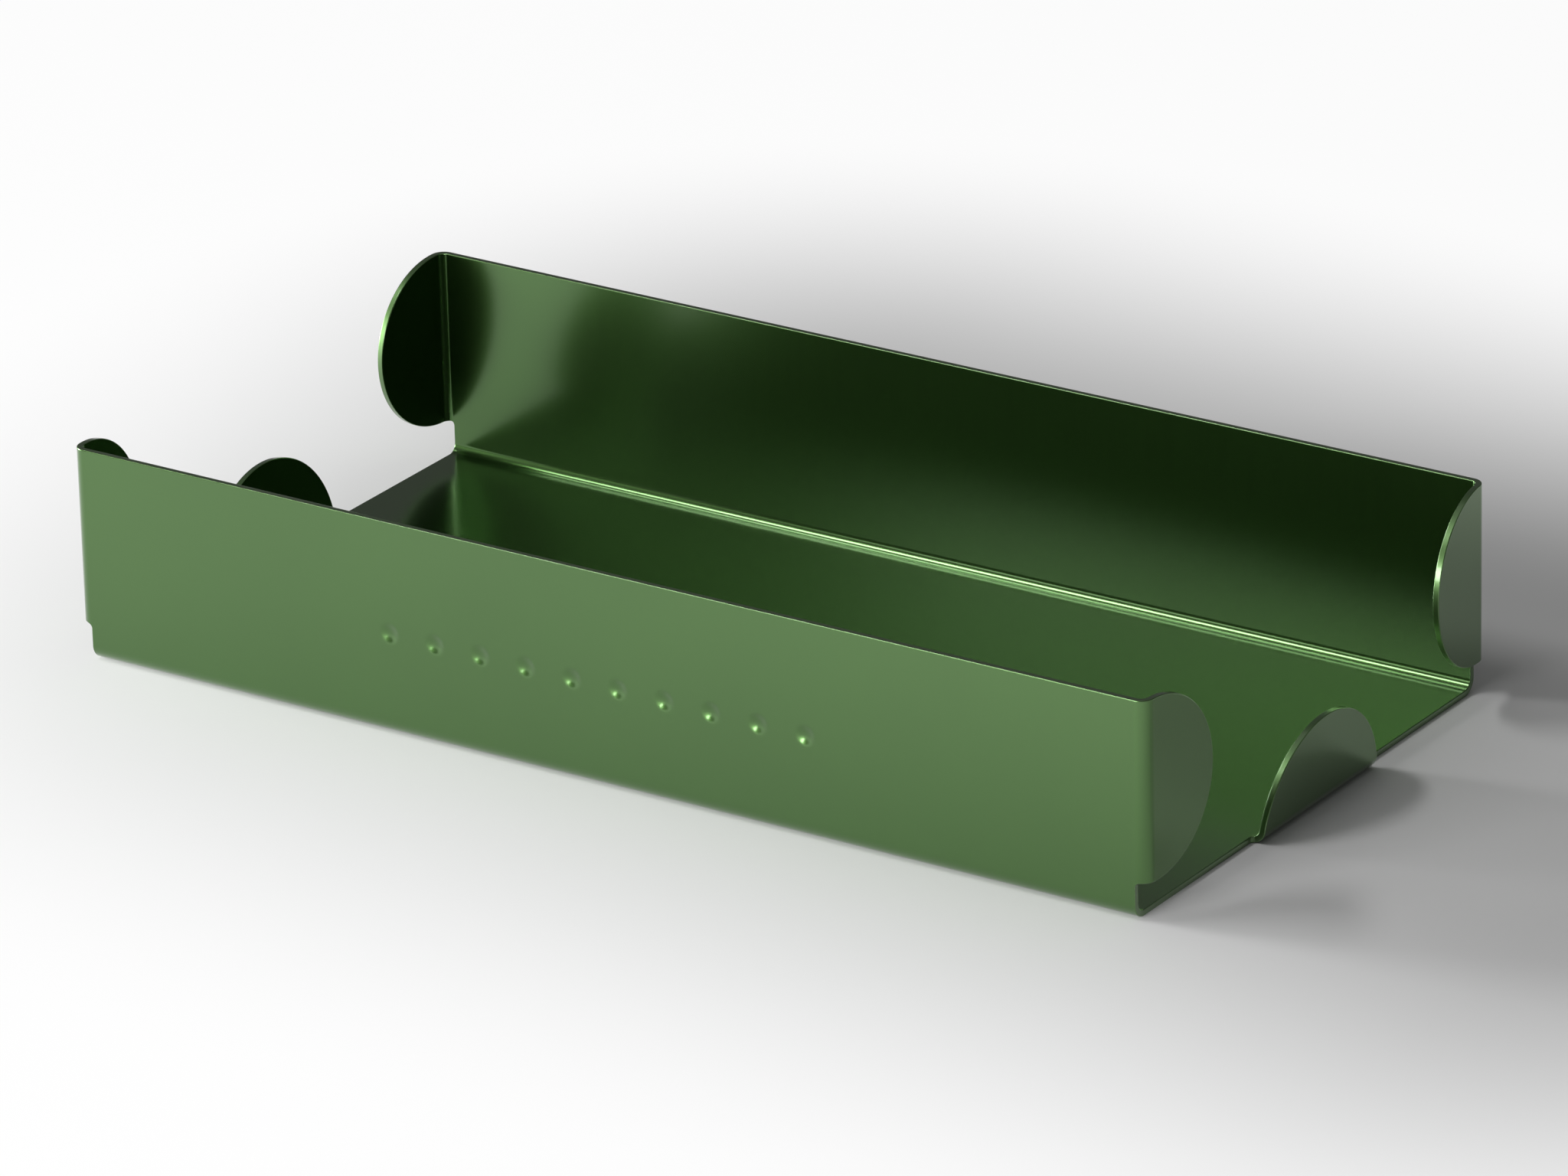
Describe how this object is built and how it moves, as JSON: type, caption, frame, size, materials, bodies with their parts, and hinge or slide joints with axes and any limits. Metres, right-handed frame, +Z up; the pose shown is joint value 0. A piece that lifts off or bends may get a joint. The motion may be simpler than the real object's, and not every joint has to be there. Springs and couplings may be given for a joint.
{
  "type": "rolled coin tray",
  "caption": "Open-ended tray folded from green anodised sheet aluminium: long side walls, round ears folded in at their ends and round stop tabs on the floor hold rolled coins.",
  "frame": {"origin": "centre of the underside of the floor, on the table", "axes": "+X along the tray, +Y from the front wall to the back wall, +Z up from the table"},
  "size_m": [0.1922, 0.096, 0.0344],
  "materials": {
    "anodised_sheet": "satin green anodised"
  },
  "bodies": {
    "root": {"floor_panel": "anodised_sheet", "front_wall": "anodised_sheet", "back_wall": "anodised_sheet", "front_floor_bend": "anodised_sheet", "back_floor_bend": "anodised_sheet", "front_right_ear": "anodised_sheet", "front_left_ear": "anodised_sheet", "back_right_ear": "anodised_sheet", "back_left_ear": "anodised_sheet", "front_right_ear_bend": "anodised_sheet", "front_left_ear_bend": "anodised_sheet", "back_right_ear_bend": "anodised_sheet", "back_left_ear_bend": "anodised_sheet", "right_stop_tab": "anodised_sheet", "left_stop_tab": "anodised_sheet", "right_stop_bend": "anodised_sheet", "left_stop_bend": "anodised_sheet"}
  },
  "joints": []
}
